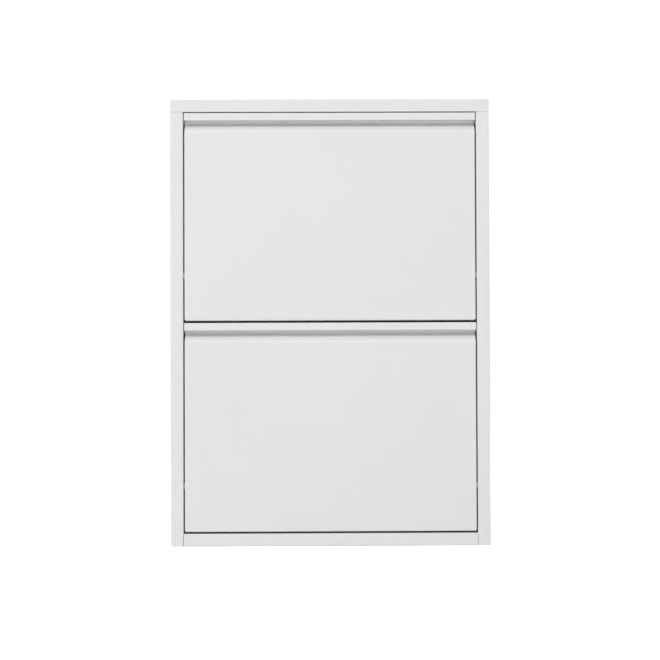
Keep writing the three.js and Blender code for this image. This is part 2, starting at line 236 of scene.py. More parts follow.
def spread(tree, value, low, high):
    # Noise keeps to the middle of its range, so that part is stretched over low to high.
    return remap(tree, value, 0.3, 0.7, low, high)


def addBump(tree, shader, height, distance):
    bump = place(tree, "ShaderNodeBump", {"Height": height, "Distance": distance, "Strength": 1.0})
    tree.links.new(bump.outputs["Normal"], shader.inputs["Normal"])


def addGrain(tree, shader, grain, look):
    gloss = spread(tree, grain.outputs["Drift"], *look["roughness"])
    tree.links.new(gloss, shader.inputs["Roughness"])
    addBump(tree, shader, grain.outputs["Height"], look["grainHeight"])


powderCoatLook = {
    "white": (0.87, 0.87, 0.869, 1),
    "drift": (0.855, 0.854, 0.852, 1),
    "rubbed": (0.74, 0.74, 0.732, 1),
    "dust": (0.66, 0.65, 0.63, 1),
    "grain": {"Fine Scale": 620.0, "Drift Scale": 5.0, "Speck Scale": 70.0},
    "speckHeight": 0.8,
    "peelHeight": 0.018 * mm,
    "roughness": (0.38, 0.46),
    "rub": {"Amount": 0.4, "Breakup Scale": 45.0},
    "film": {"Amount": 0.16, "Patch Scale": 14.0},
    "filmMatt": 0.6,
}


def makePowderCoat():
    look = powderCoatLook
    material, tree, shader = startMaterial("whitePowderCoat", {"IOR": 1.5, "Specular IOR Level": 0.5})
    grain = groupIn(tree, grainTree, look["grain"])
    rub = groupIn(tree, rubTree, look["rub"]).outputs["Rub"]
    dust = groupIn(tree, dustTree, look["film"]).outputs["Dust"]
    drift = spread(tree, grain.outputs["Drift"], 0.0, 1.0)
    colour = blendColour(tree, drift, look["white"], look["drift"])
    colour = blendColour(tree, rub, colour, look["rubbed"])
    colour = blendColour(tree, dust, colour, look["dust"])
    tree.links.new(colour, shader.inputs["Base Color"])
    gloss = spread(tree, grain.outputs["Drift"], *look["roughness"])
    matt = multiplyAdd(tree, dust, look["filmMatt"], gloss)
    tree.links.new(matt, shader.inputs["Roughness"])
    nibs = multiplyAdd(tree, grain.outputs["Speck"], look["speckHeight"], grain.outputs["Height"])
    addBump(tree, shader, nibs, look["peelHeight"])
    return material


nylonLook = {
    "tones": ((0.66, 0.65, 0.61, 1), (0.58, 0.57, 0.52, 1)),
    "rubbed": (0.58, 0.57, 0.52, 1),
    "roughness": (0.42, 0.58),
    "grain": {"Fine Scale": 1500.0, "Drift Scale": 140.0, "Speck Scale": 400.0},
    "grainHeight": 0.02 * mm,
    "rub": {"Amount": 0.4, "Breakup Scale": 300.0},
    "uniform": {"IOR": 1.53, "Subsurface Weight": 0.15, "Subsurface Scale": 1.5 * mm},
}


rubberLook = {
    "body": (0.17, 0.17, 0.168, 1),
    "bloom": (0.27, 0.27, 0.262, 1),
    "roughness": (0.68, 0.85),
    "grain": {"Fine Scale": 1800.0, "Drift Scale": 260.0, "Speck Scale": 700.0},
    "grainHeight": 0.04 * mm,
    "rub": {"Amount": 0.7, "Breakup Scale": 220.0},
    "mostBloom": 0.6,
}


def makeRubber():
    look = rubberLook
    material, tree, shader = startMaterial("greyRubber", {"IOR": 1.5, "Specular IOR Level": 0.35})
    grain = groupIn(tree, grainTree, look["grain"])
    rub = groupIn(tree, rubTree, look["rub"]).outputs["Rub"]
    patches = spread(tree, grain.outputs["Drift"], 0.0, look["mostBloom"])
    bloom = place(tree, "ShaderNodeMath", {0: patches, 1: rub}, operation="MAXIMUM").outputs[0]
    colour = blendColour(tree, bloom, look["body"], look["bloom"])
    tree.links.new(colour, shader.inputs["Base Color"])
    addGrain(tree, shader, grain, look)
    return material


zincLook = {
    "tones": ((0.66, 0.68, 0.70, 1), (0.50, 0.52, 0.53, 1)),
    "rubbed": (0.66, 0.68, 0.70, 1),
    "roughness": (0.24, 0.42),
    "grain": {
        "Fine Scale": 2400.0,
        "Drift Scale": 320.0,
        "Speck Scale": 600.0,
        "Stretch": (1.0, 0.2, 0.2),
    },
    "grainHeight": 0.01 * mm,
    "rub": {"Amount": 0.6, "Breakup Scale": 500.0},
    "uniform": {"Metallic": 1.0},
}


def makeTwoTone(name, look):
    # Two tones drift into each other, and the edges are rubbed.
    material, tree, shader = startMaterial(name, look["uniform"])
    grain = groupIn(tree, grainTree, look["grain"])
    rub = groupIn(tree, rubTree, look["rub"]).outputs["Rub"]
    colour = blendColour(tree, spread(tree, grain.outputs["Drift"], 0.0, 1.0), *look["tones"])
    colour = blendColour(tree, rub, colour, look["rubbed"])
    tree.links.new(colour, shader.inputs["Base Color"])
    addGrain(tree, shader, grain, look)
    return material


powderCoat = makePowderCoat()
nylon = makeTwoTone("naturalNylon", nylonLook)
rubber = makeRubber()
zinc = makeTwoTone("zincPlate", zincLook)
report("finishes made")


def realizeAndPaint(tree, geometry, material, result):
    real = place(tree, "GeometryNodeRealizeInstances", {"Geometry": geometry}).outputs[0]
    painted = place(tree, "GeometryNodeSetMaterial", {"Geometry": real, "Material": material})
    tree.links.new(painted.outputs[0], result)


def makeFoldTree():
    # A folded sheet's middle surface: the path is rounded at each bend and drawn out along Run.
    tree, given, result = startTree(
        "foldSheet",
        "GeometryNodeTree",
        [
            ("Path", "Geometry", None),
            ("Start", "Vector", (0.0, 0.0, 0.0)),
            ("Run", "Vector", (0.0, 0.0, 0.1)),
            ("Bend Steps", "Int", 6),
            ("Material", "Material", None),
        ],
        [("Sheet", "Geometry")],
    )
    radius = place(tree, "GeometryNodeInputNamedAttribute", {"Name": "bendRadius"}, data_type="FLOAT")
    line = place(tree, "GeometryNodeMeshToCurve", {"Mesh": given["Path"]})
    bent = place(
        tree,
        "GeometryNodeFilletCurve",
        {"Curve": line.outputs[0], "Count": given["Bend Steps"], "Radius": radius.outputs[0]},
        mode="POLY",
    )
    edges = place(tree, "GeometryNodeCurveToMesh", {"Curve": bent.outputs[0]})
    merging = {"Geometry": edges.outputs[0], "Distance": 0.002 * mm}
    merged = place(tree, "GeometryNodeMergeByDistance", merging)
    drawing = {"Mesh": merged.outputs[0], "Offset": given["Run"]}
    drawn = place(tree, "GeometryNodeExtrudeMesh", drawing, mode="EDGES")
    moved = place(tree, "GeometryNodeSetPosition", {"Geometry": drawn.outputs[0], "Offset": given["Start"]})
    bare = place(tree, "GeometryNodeRemoveAttribute", {"Geometry": moved.outputs[0], "Name": "bendRadius"})
    realizeAndPaint(tree, bare.outputs[0], given["Material"], result["Sheet"])
    return tree


def makeSeatTree():
    # One copy of a small piece on each seat, facing the way its seat does, turned at random.
    tree, given, result = startTree(
        "copiesOnSeats",
        "GeometryNodeTree",
        [
            ("Seats", "Geometry", None),
            ("Copy", "Object", None),
            ("Most Turn", "Float", math.pi),
            ("Seed", "Int", 4),
            ("Material", "Material", None),
        ],
        [("Copies", "Geometry")],
    )
    facing = place(tree, "GeometryNodeInputNamedAttribute", {"Name": "facing"}, data_type="FLOAT_VECTOR")
    aligned = place(tree, "FunctionNodeAlignRotationToVector", {"Vector": facing.outputs[0]}, axis="Z")
    turn = place(tree, "FunctionNodeRandomValue", data_type="FLOAT")
    tree.links.new(given["Most Turn"], turn.inputs[3])
    tree.links.new(given["Seed"], turn.inputs["Seed"])
    spin = place(tree, "FunctionNodeAxisAngleToRotation", {"Axis": (0.0, 0.0, 1.0), "Angle": turn.outputs[1]})
    turned = place(
        tree,
        "FunctionNodeRotateRotation",
        {"Rotation": aligned.outputs[0], "Rotate By": spin.outputs[0]},
        rotation_space="LOCAL",
    )
    shape = place(tree, "GeometryNodeObjectInfo", {"Object": given["Copy"]})
    copies = place(
        tree,
        "GeometryNodeInstanceOnPoints",
        {"Points": given["Seats"], "Instance": shape.outputs["Geometry"], "Rotation": turned.outputs[0]},
    )
    realizeAndPaint(tree, copies.outputs[0], given["Material"], result["Copies"])
    return tree


foldTree = makeFoldTree()
seatTree = makeSeatTree()


def addObject(name, mesh):
    obj = bpy.data.objects.new(name, mesh)
    scene.collection.objects.link(obj)
    return obj


def fromBmesh(name, shape):
    mesh = bpy.data.meshes.new(name)
    shape.to_mesh(mesh)
    shape.free()
    return addObject(name, mesh)


def bake(obj):
    # The evaluated object becomes its own plain mesh, with no modifiers left.
    graph = bpy.context.evaluated_depsgraph_get()
    plain = bpy.data.meshes.new_from_object(
        obj.evaluated_get(graph), preserve_all_data_layers=True, depsgraph=graph
    )
    obj.modifiers.clear()
    obj.data = plain
    plain.name = obj.name


def combine(obj, others, operation):
    # Adds or cuts away other solids, which are used up.
    for other in others:
        step = obj.modifiers.new(other.name, "BOOLEAN")
        step.operation = operation
        step.solver = "EXACT"
        step.object = other
    bake(obj)
    for other in others:
        bpy.data.objects.remove(other)


def slab(low, high):
    shape = bmesh.new()
    bmesh.ops.create_cube(shape, size=1)
    size = Vector(high) - Vector(low)
    centre = (Vector(high) + Vector(low)) / 2
    placed = Matrix.Translation(centre * mm) @ Matrix.Diagonal((*(size * mm), 1))
    bmesh.ops.transform(shape, matrix=placed, verts=shape.verts)
    return fromBmesh("slab", shape)


quarterTurns = {
    "x": Matrix.Rotation(math.pi / 2, 4, "Y"),
    "y": Matrix.Rotation(-math.pi / 2, 4, "X"),
    "z": Matrix.Identity(4),
}


boreLength = {"x": 6, "y": 12, "z": 6}  # along each axis, half of it on each side of the centre


def borer(axis, radius, centre, segments=32):
    shape = bmesh.new()
    bmesh.ops.create_cone(
        shape,
        cap_ends=True,
        segments=segments,
        radius1=radius * mm,
        radius2=radius * mm,
        depth=boreLength[axis] * mm,
        matrix=Matrix.Translation(Vector(centre) * mm) @ quarterTurns[axis],
    )
    return fromBmesh("borer", shape)


# How a path's or outline's two numbers lie across each run.
acrossRun = {
    "x": lambda u, v: (0, u, v),
    "y": lambda u, v: (u, 0, v),
    "z": lambda u, v: (u, v, 0),
}
alongRun = {"x": Vector((1, 0, 0)), "y": Vector((0, 1, 0)), "z": Vector((0, 0, 1))}


def foldedSheet(name, path, axis, start, end, thickness=stock["sheet"], steps=6):
    # The path's points are (u, v) or (u, v, bend radius) on the sheet's middle surface.
    mesh = bpy.data.meshes.new(name)
    points = [Vector(acrossRun[axis](*point[:2])) * mm for point in path]
    mesh.from_pydata(points, [(i, i + 1) for i in range(len(path) - 1)], [])
    radii = mesh.attributes.new("bendRadius", "FLOAT", "POINT")
    for i, point in enumerate(path):
        radii.data[i].value = point[2] * mm if len(point) > 2 else 0
    obj = addObject(name, mesh)
    run = alongRun[axis]
    folding = {
        "Start": run * start * mm,
        "Run": run * (end - start) * mm,
        "Bend Steps": steps,
        "Material": powderCoat,
    }
    useTree(obj, foldTree, folding)
    thick = obj.modifiers.new("thickness", "SOLIDIFY")
    thick.thickness = thickness * mm
    thick.offset = 0
    thick.use_even_offset = True
    bake(obj)
    return obj


def roundCorners(corners, steps=8):
    # A closed outline whose corners (u, v, radius) are rounded by arcs.
    spots = [Vector(corner[:2]) for corner in corners]
    outline = []
    for i, spot in enumerate(spots):
        radius = corners[i][2] if len(corners[i]) > 2 else 0
        into = (spot - spots[i - 1]).normalized()
        away = (spots[(i + 1) % len(spots)] - spot).normalized()
        turn = math.atan2(into.x * away.y - into.y * away.x, into.dot(away))
        if not radius:
            outline.append(spot)
            continue
        start = spot - into * radius * math.tan(abs(turn) / 2)
        side = math.copysign(1, turn)
        centre = start + Vector((-into.y, into.x)) * radius * side
        for step in range(steps + 1):
            outline.append(centre + Matrix.Rotation(turn * step / steps, 2) @ (start - centre))
    return outline


def plate(name, corners, axis, start, end):
    # A flat plate of a rounded outline, from start to end along its axis.
    shape = bmesh.new()
    run = alongRun[axis]
    points = [(Vector(acrossRun[axis](*spot)) + run * start) * mm for spot in roundCorners(corners)]
    face = shape.faces.new([shape.verts.new(point) for point in points])
    grown = bmesh.ops.extrude_face_region(shape, geom=[face])
    verts = [item for item in grown["geom"] if isinstance(item, bmesh.types.BMVert)]
    bmesh.ops.translate(shape, verts=verts, vec=run * (end - start) * mm)
    bmesh.ops.recalc_face_normals(shape, faces=shape.faces)
    return fromBmesh(name, shape)


def turned(name, profile, centre, segments=48, sign=1):
    # Turns a closed or axis-to-axis profile of (radius, distance along X) about a line along X.
    # A sign of -1 points the profile to the left.
    shape = bmesh.new()
    verts = [shape.verts.new((sign * along * mm, 0, radius * mm)) for radius, along in profile]
    edges = [shape.edges.new(pair) for pair in zip(verts, verts[1:])]
    if profile[0][0] > 0 or profile[-1][0] > 0:
        edges.append(shape.edges.new((verts[-1], verts[0])))
    bmesh.ops.spin(
        shape, geom=verts + edges, axis=(1, 0, 0), cent=(0, 0, 0), angle=2 * math.pi, steps=segments
    )
    bmesh.ops.remove_doubles(shape, verts=shape.verts, dist=samePlace)
    bmesh.ops.translate(shape, verts=shape.verts, vec=Vector(centre) * mm)
    bmesh.ops.recalc_face_normals(shape, faces=shape.faces)
    return fromBmesh(name, shape)


def mirrored(obj, name):
    copy = addObject(name, obj.data.copy())
    copy.data.transform(Matrix.Diagonal((-1, 1, 1, 1)))
    return copy


def spanOf(mesh):
    spots = [vertex.co for vertex in mesh.vertices]
    return [(min(spot[i] for spot in spots), max(spot[i] for spot in spots)) for i in range(3)]


def finishPiece(obj, body, stands, material, edge=stock["edge"], rounds=2):
    # Rounds the sheet's edges, marks the rounded faces for wear, sets the shading and the ride.
    shape = bmesh.new()
    shape.from_mesh(obj.data)
    bmesh.ops.remove_doubles(shape, verts=shape.verts, dist=samePlace)
    bmesh.ops.dissolve_degenerate(shape, edges=shape.edges, dist=samePlace / 2)
    bmesh.ops.recalc_face_normals(shape, faces=shape.faces)
    for face in shape.faces:
        face.smooth = True
        face.material_index = 0
    shape.to_mesh(obj.data)
    shape.free()
    span = spanOf(obj.data)
    obj.data.materials.clear()
    obj.data.materials.append(material)
    obj.data.materials.append(material)
    if edge:
        soften = obj.modifiers.new("edges", "BEVEL")
        soften.width = edge * mm
        soften.segments = rounds
        soften.limit_method = "ANGLE"
        soften.angle_limit = sharpAngle
        soften.use_clamp_overlap = False
        soften.material = 1
    weighted = obj.modifiers.new("shading", "WEIGHTED_NORMAL")
    weighted.weight = 50
    bake(obj)
    mesh = obj.data
    for vertex in mesh.vertices:  # rounding never pushes a corner out of the sheet's own size
        vertex.co = [min(max(value, low), high) for value, (low, high) in zip(vertex.co, span)]
    rubbed = mesh.attributes.new("edgeRub", "FLOAT", "FACE")
    for i, face in enumerate(mesh.polygons):
        rubbed.data[i].value = face.material_index
        face.material_index = 0
    mesh.materials.pop(index=1)
    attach(obj, body)
    if stands:
        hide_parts(*stands)


def finishPair(right, stem, body, node, material):
    # The left piece is the right one mirrored.
    left = mirrored(right, f"{stem}.left")
    for side, piece in (("right", right), ("left", left)):
        finishPiece(piece, body, [f"{node}_{side}"], material)


screwCuts = {"radius": 2.3}


def screwHole(axis, centre):
    return borer(axis, screwCuts["radius"], centre)


backSeat = boxOf("back_panel")[0].y - stock["gap"]  # rear face of the flanges that carry the back panel
bracketScrews = [middleOf(f"top_screw_right_{end}") for end in ("front", "rear")]

sidePanelPiece = {
    "return": 30,
    "jog": 6,
    "jogBend": 1.0,
    "rearReturn": 11,
    "tabHeight": 15,
    "tabBehindGrip": 2.1,
    "tabBend": 0.9,
    "tabLip": 3,
    "bushHole": 4.3,
}


def makeSidePanels():
    look = sidePanelPiece
    low, high = boxOf("side_panel_right")
    returnX = openingX + half
    webX = sideX - half
    jogX = sideX - look["jog"]
    bend = stock["bend"]
    path = [
        (returnX, front + look["return"]),
        (returnX, front + half, bend),
        (webX, front + half, bend),
        (webX, back - half, bend),
        (jogX, back - half, look["jogBend"]),
        (jogX, backSeat - half, look["jogBend"]),
        (returnX, backSeat - half, bend),
        (returnX, backSeat - look["rearReturn"]),
    ]
    panel = foldedSheet("sidePanel.right", path, "z", low.z, high.z)
    cuts = []
    for node in ("low", "middle", "high"):
        spot = middleOf(f"back_screw_right_{node}")
        cuts.append(screwHole("y", (spot.x, backSeat, spot.z)))
    tabs = []
    for level, hinge in levels.items():
        grip = boxOf(f"{level}_grip_channel")
        tabY = grip[1].y + look["tabBehindGrip"] + half
        top = grip[1].z
        tabBottom = top - look["tabHeight"]
        tabPath = [(low.x, tabY), (returnX, tabY, look["tabBend"]), (returnX, tabY - look["tabLip"])]
        tabs.append(foldedSheet("tab", tabPath, "z", tabBottom + stock["gap"], top - stock["gap"]))
        windowStart = (openingX - past, tabY + half, tabBottom)
        windowEnd = (openingX + 2 * past, front + look["return"] + past, top)
        cuts.append(slab(windowStart, windowEnd))
        cuts.append(borer("x", look["bushHole"], (openingX, hinge.y, hinge.z), segments=48))
    combine(panel, cuts, "DIFFERENCE")
    combine(panel, tabs, "UNION")
    finishPair(panel, "sidePanel", "carcass", "side_panel", powderCoat)


topPanelPiece = {"round": 1.8, "flange": 20, "slit": 0.5, "slitStart": 1.5}


def roundedBlock(name, low, high, radius):
    # A block whose top and upright edges are rounded and whose underside stays sharp.
    block = slab(low, high)
    shape = bmesh.new()
    shape.from_mesh(block.data)
    lowest = min(vert.co.z for vert in shape.verts)
    softened = [
        edge for edge in shape.edges if any(vert.co.z > lowest + 0.1 * mm for vert in edge.verts)
    ]
    bmesh.ops.bevel(
        shape, geom=softened, offset=radius * mm, segments=6, profile=0.5, affect="EDGES", clamp_overlap=False
    )
    shape.to_mesh(block.data)
    shape.free()
    block.name = name
    return block


def makeTopPanel():
    look = topPanelPiece
    low, high = boxOf("top_panel")
    sheet = stock["sheet"]
    inset = Vector((sheet, sheet, sheet))
    shell = roundedBlock("topPanel", low, high, look["round"])
    hollow = roundedBlock("hollow", low + inset, high - inset, look["round"] - sheet)
    mouthX = high.x - look["flange"]
    mouthY = high.y - look["flange"]
    cuts = [hollow, slab((-mouthX, -mouthY, low.z - past), (mouthX, mouthY, low.z + 2 * past))]
    halfSlit = look["slit"] / 2
    for sign in sides.values():
        for spot in bracketScrews:
            cuts.append(screwHole("z", (sign * spot.x, spot.y, low.z)))
        for end in (-1, 1):
            # The return flanges meet in an open mitre at each corner.
            slit = slab((-look["flange"], -halfSlit, -past), (-look["slitStart"], halfSlit, past))
            corner = Vector((sign * high.x, end * high.y, low.z)) * mm
            outward = Matrix.Rotation(math.atan2(end, sign), 4, "Z")
            slit.data.transform(Matrix.Translation(corner) @ outward)
            cuts.append(slit)
    combine(shell, cuts, "DIFFERENCE")
    finishPiece(shell, "carcass", ["top_panel"], powderCoat)


bottomPanelPiece = {"lip": 12, "rearNotch": 12}


def makeBottomPanel():
    look = bottomPanelPiece
    low, high = boxOf("bottom_panel")
    bend = stock["bend"]
    path = [
        (front + look["lip"], low.z + half),
        (front + half, low.z + half, bend),
        (front + half, high.z - half, bend),
        (high.y - half, high.z - half, bend),
        (high.y - half, low.z + half, bend),
        (high.y - look["lip"], low.z + half),
    ]
    panel = foldedSheet("bottomPanel", path, "x", low.x, high.x)
    narrowX = openingX - stock["gap"]
    cuts = []
    for sign in sides.values():
        inner, outer = sorted((sign * narrowX, sign * (high.x + past)))
        frontNotchY = front + sidePanelPiece["return"] + past
        rearNotchY = high.y - look["rearNotch"]
        cuts.append(slab((inner, front - past, -past), (outer, frontNotchY, high.z + past)))
        cuts.append(slab((inner, rearNotchY, -past), (outer, high.y + past, high.z + past)))
        for spot in bracketScrews:
            cuts.append(screwHole("z", (sign * spot.x, spot.y, high.z)))
        screw = middleOf("back_screw_right_base")
        cuts.append(screwHole("y", (sign * screw.x, high.y, screw.z)))
    combine(panel, cuts, "DIFFERENCE")
    finishPiece(panel, "carcass", ["bottom_panel"], powderCoat)


backPanelPiece = {"corner": 2, "wallHole": 3.5, "wallHoleX": 180, "wallHoleZ": (80, 640)}


def makeBackPanel():
    look = backPanelPiece
    low, high = boxOf("back_panel")
    corners = ((low.x, low.z), (high.x, low.z), (high.x, high.z), (low.x, high.z))
    outline = [(*spot, look["corner"]) for spot in corners]
    panel = plate("backPanel", outline, "y", low.y, high.y)
    cuts = []
    for side, sign in sides.items():
        for node in ("base", "low", "middle", "high"):
            spot = middleOf(f"back_screw_{side}_{node}")
            cuts.append(screwHole("y", (spot.x, low.y, spot.z)))
        for z in look["wallHoleZ"]:
            cuts.append(borer("y", look["wallHole"], (sign * look["wallHoleX"], low.y, z)))
    combine(panel, cuts, "DIFFERENCE")
    finishPiece(panel, "carcass", ["back_panel"], powderCoat)


bracketPiece = {"thickness": 1.2}


def makeBrackets():
    thickness = bracketPiece["thickness"]
    for level in ("top", "bottom"):
        low, high = boxOf(f"corner_bracket_{level}_right")
        path = [
            (high.x - thickness / 2, low.z),
            (high.x - thickness / 2, high.z - thickness / 2, thickness),
            (low.x, high.z - thickness / 2),
        ]
        right = foldedSheet(f"cornerBracket.{level}.right", path, "y", low.y, high.y, thickness)
        cuts = [screwHole("z", (spot.x, spot.y, high.z)) for spot in bracketScrews]
        combine(right, cuts, "DIFFERENCE")
        finishPair(right, f"cornerBracket.{level}", "carcass", f"corner_bracket_{level}", powderCoat)


makeSidePanels()
makeTopPanel()
makeBottomPanel()
makeBackPanel()
makeBrackets()
report("carcass folded")


flapPiece = {
    "sideFlange": 24,
    "bottomFlange": 18,
    "slopeLow": 29,
    "slopeHigh": 15.5,
    "flangeTop": 22,
    "slopeBend": 6,
    "wallBend": 3,
    "seam": 8,
    "faceOverlap": 6,
    "recessOverlap": 10,
    "flangeOverlap": 8,
    "flangeEdge": 9.5,
    "pinHole": 2.8,
}


def makeFlapFront(level, hinge):
    look = flapPiece
    low, high = boxOf(f"{level}_flap_front")
    channelHigh = boxOf(f"{level}_grip_channel")[1]
    bend = stock["bend"]
    top = channelHigh.z
    faceY = front + half
    flapX = high.x
    seamY = channelHigh.y - half - stock["sheet"] - stock["gap"]
    slopeBottom = top - look["slopeLow"]
    slopeTop = top - look["slopeHigh"]
    innerX = flapX - stock["sheet"] - stock["gap"]
    flangeY = front + look["sideFlange"]
    facePath = [
        (-flapX + half, flangeY),
        (-flapX + half, faceY, bend),
        (flapX - half, faceY, bend),
        (flapX - half, flangeY),
    ]
    faceTop = slopeBottom - look["faceOverlap"]
    face = foldedSheet(f"flapFront.{level}", facePath, "z", low.z + bend + half, faceTop)
    recessPath = [
        (faceY, slopeBottom - look["recessOverlap"]),
        (faceY, slopeBottom, look["slopeBend"]),
        (seamY, slopeTop, look["wallBend"]),
        (seamY, slopeTop + look["seam"]),
    ]
    recess = foldedSheet("recess", recessPath, "x", -flapX + half, flapX - half, steps=8)
    footPath = [
        (front + look["bottomFlange"], low.z + half),
        (faceY, low.z + half, bend),
        (faceY, low.z + look["faceOverlap"]),
    ]
    foot = foldedSheet("foot", footPath, "x", -innerX, innerX)
    # The side flanges run on up behind the slope and close the recess's ends.
    flangeTop = top - look["flangeTop"]
    flangeBottom = slopeBottom - look["flangeOverlap"]
    flange = [
        (faceY + bend, flangeBottom),
        (flangeY, flangeBottom),
        (flangeY, flangeTop),
        (faceY + look["flangeEdge"], flangeTop),
        (faceY + bend, slopeBottom - past),
    ]
    ends = [
        plate("flange", flange, "x", flapX - stock["sheet"], flapX),
        plate("flange", flange, "x", -flapX, -flapX + stock["sheet"]),
    ]
    combine(face, [recess, foot, *ends], "UNION")
    holes = [borer("x", look["pinHole"], (sign * flapX, hinge.y, hinge.z)) for sign in sides.values()]
    combine(face, holes, "DIFFERENCE")
    finishPiece(face, f"{level}_flap", [f"{level}_flap_front"], powderCoat)


channelPiece = {
    "lip": 12,
    "topBend": 1.4,
    "hemBend": 0.6,
    "hem": 5,
    "wallInset": 1.2,
    "frontOverlap": 4,
    "wallOverlap": 3,
}


def makeGripChannel(level):
    look = channelPiece
    low, high = boxOf(f"{level}_grip_channel")
    wallY = high.y - half
    faceY = low.y + half
    topZ = high.z - half
    hemY = faceY + 2 * look["hemBend"]
    hemZ = high.z - look["lip"] + half
    wallX = boxOf(f"{level}_flap_front")[1].x - look["wallInset"]
    wallPath = [
        (wallY, low.z),
        (wallY, topZ, look["topBend"]),
        (faceY + look["frontOverlap"], topZ),
    ]
    wall = foldedSheet(f"gripChannel.{level}", wallPath, "x", -wallX, wallX)
    lipPath = [
        (wallY - look["wallOverlap"], topZ),
        (faceY, topZ, look["topBend"]),
        (faceY, hemZ, look["hemBend"]),
        (hemY, hemZ, look["hemBend"]),
        (hemY, hemZ + look["hem"]),
    ]
    lip = foldedSheet("lip", lipPath, "x", low.x, high.x)
    combine(wall, [lip], "UNION")
    finishPiece(wall, f"{level}_flap", [f"{level}_grip_channel"], powderCoat)


# toe and crest are behind the front, instep is above the flap's bottom edge, and the three
# corners by the rods are measured from the rods' middles, as (rearward, up, radius).
cheekPiece = {
    "toe": 71,
    "toeRound": 24,
    "instep": 56,
    "instepBehindStop": 13,
    "instepRound": 30,
    "stopCorner": (11, 6, 20),
    "keepCorner": (11, 11, 14),
    "shoulder": (-18, 13, 30),
    "crest": 24,
    "crestRound": 12,
    "frontRound": 3,
    "pinHole": 2.8,
    "rodHole": 3.3,
}


def makeCheeks(level, hinge):
    look = cheekPiece
    low, high = boxOf(f"{level}_cheek_right")
    flapBottom = boxOf(f"{level}_flap_front")[0].z
    stop, keep = (middleOf(f"{level}_{rod}_rod") for rod in ("stop", "retaining"))
    byRods = [
        (rod.y + look[corner][0], rod.z + look[corner][1], look[corner][2])
        for rod, corner in ((stop, "stopCorner"), (keep, "keepCorner"), (keep, "shoulder"))
    ]
    outline = [
        (low.y, low.z, look["frontRound"]),
        (front + look["toe"], low.z, look["toeRound"]),
        (stop.y + look["instepBehindStop"], flapBottom + look["instep"], look["instepRound"]),
        *byRods,
        (front + look["crest"], high.z, look["crestRound"]),
        (low.y, high.z, look["frontRound"]),
    ]
    right = plate(f"cheek.{level}.right", outline, "x", low.x, high.x)
    holes = [borer("x", look["pinHole"], (low.x, hinge.y, hinge.z))]
    holes += [borer("x", look["rodHole"], (low.x, rod.y, rod.z)) for rod in (stop, keep)]
    combine(right, holes, "DIFFERENCE")
    finishPair(right, f"cheek.{level}", f"{level}_flap", f"{level}_cheek", powderCoat)


# toe is behind the front, heelRise above the tray's floor.
trayPiece = {
    "toe": 63,
    "frontFlange": 26,
    "frontBend": 3,
    "heelRise": 50,
    "bend": 14,
    "hem": 7,
    "hemBend": 0.6,
}


def makeTray(level):
    look = trayPiece
    low, high = boxOf(f"{level}_shoe_tray")
    flangeY = low.y + half
    floorZ = low.z + half
    heelY = high.y - half
    rimZ = high.z - half
    hemY = heelY - 2 * look["hemBend"]
    path = [
        (flangeY, floorZ + look["frontFlange"]),
        (flangeY, floorZ, look["frontBend"]),
        (front + look["toe"], floorZ, look["bend"]),
        (heelY, floorZ + look["heelRise"], look["bend"]),
        (heelY, rimZ, look["hemBend"]),
        (hemY, rimZ, look["hemBend"]),
        (hemY, rimZ - look["hem"]),
    ]
    tray = foldedSheet(f"shoeTray.{level}", path, "x", low.x, high.x, steps=8)
    finishPiece(tray, f"{level}_flap", [f"{level}_shoe_tray"], powderCoat)


rodPiece = {"radius": 3, "chamfer": 0.5, "fillet": 1.3, "beadGap": 0.05}


def makeRods(level):
    look = rodPiece
    radius, chamfer, fillet = look["radius"], look["chamfer"], look["fillet"]
    beadX = boxOf(f"{level}_cheek_right")[0].x - look["beadGap"]
    # A weld bead runs round the rod inside each cheek.
    bead = [(radius, fillet * 1.3), (radius + fillet * 0.35, fillet * 0.75)]
    bead += [(radius + fillet, 0), (radius, 0)]
    for rod, short in (("stop", "stopRod"), ("retaining", "retainingRod")):
        node = f"{level}_{rod}_rod"
        low, high = boxOf(node)
        centre = (low + high) / 2
        reach = high.x - centre.x
        halfProfile = [(r, beadX - out) for r, out in bead]
        halfProfile += [(radius, reach - chamfer), (radius - chamfer, reach), (0, reach)]
        profile = [(r, -along) for r, along in reversed(halfProfile)] + halfProfile
        piece = turned(f"{short}.{level}", profile, centre)
        finishPiece(piece, f"{level}_flap", [node], powderCoat, edge=0)


for level, hinge in levels.items():
    makeFlapFront(level, hinge)
    makeGripChannel(level)
    makeCheeks(level, hinge)
    makeTray(level)
    makeRods(level)
report("flaps folded")


pinPiece = {"radius": 2.5, "head": 4.5, "headHeight": 2, "chamfer": 0.6}
bushPiece = {"bore": 2.65, "flange": 5, "barrel": 4, "lip": 4.6, "flangeDepth": 1.4, "round": 0.3}
sleevePiece = {"inner": 3.3, "outer": 4.5, "round": 0.5}
bufferPiece = {"face": 3.2, "base": 3.6, "round": 0.4}


def makePivotPin(level, side, sign, hinge):
    look = pinPiece
    low, high = boxOf(f"{level}_pivot_pin_{side}")
    inner, tip = sorted((abs(low.x), abs(high.x)))
    seat = inner + look["headHeight"]
    radius, head, chamfer = look["radius"], look["head"], look["chamfer"]
    profile = [
        (0, inner),
        (head * 0.55, inner + 0.12),
        (head - 0.7, inner + 0.5),
        (head - 0.15, inner + 1.05),
        (head, seat - 0.45),
        (head - 0.1, seat),
        (radius, seat),
        (radius, tip - chamfer),
        (radius - chamfer, tip),
        (0, tip),
    ]
    pin = turned(f"pivotPin.{level}.{side}", profile, (0, hinge.y, hinge.z), sign=sign)
    finishPiece(pin, f"{level}_flap", [f"{level}_pivot_pin_{side}"], zinc, edge=0)


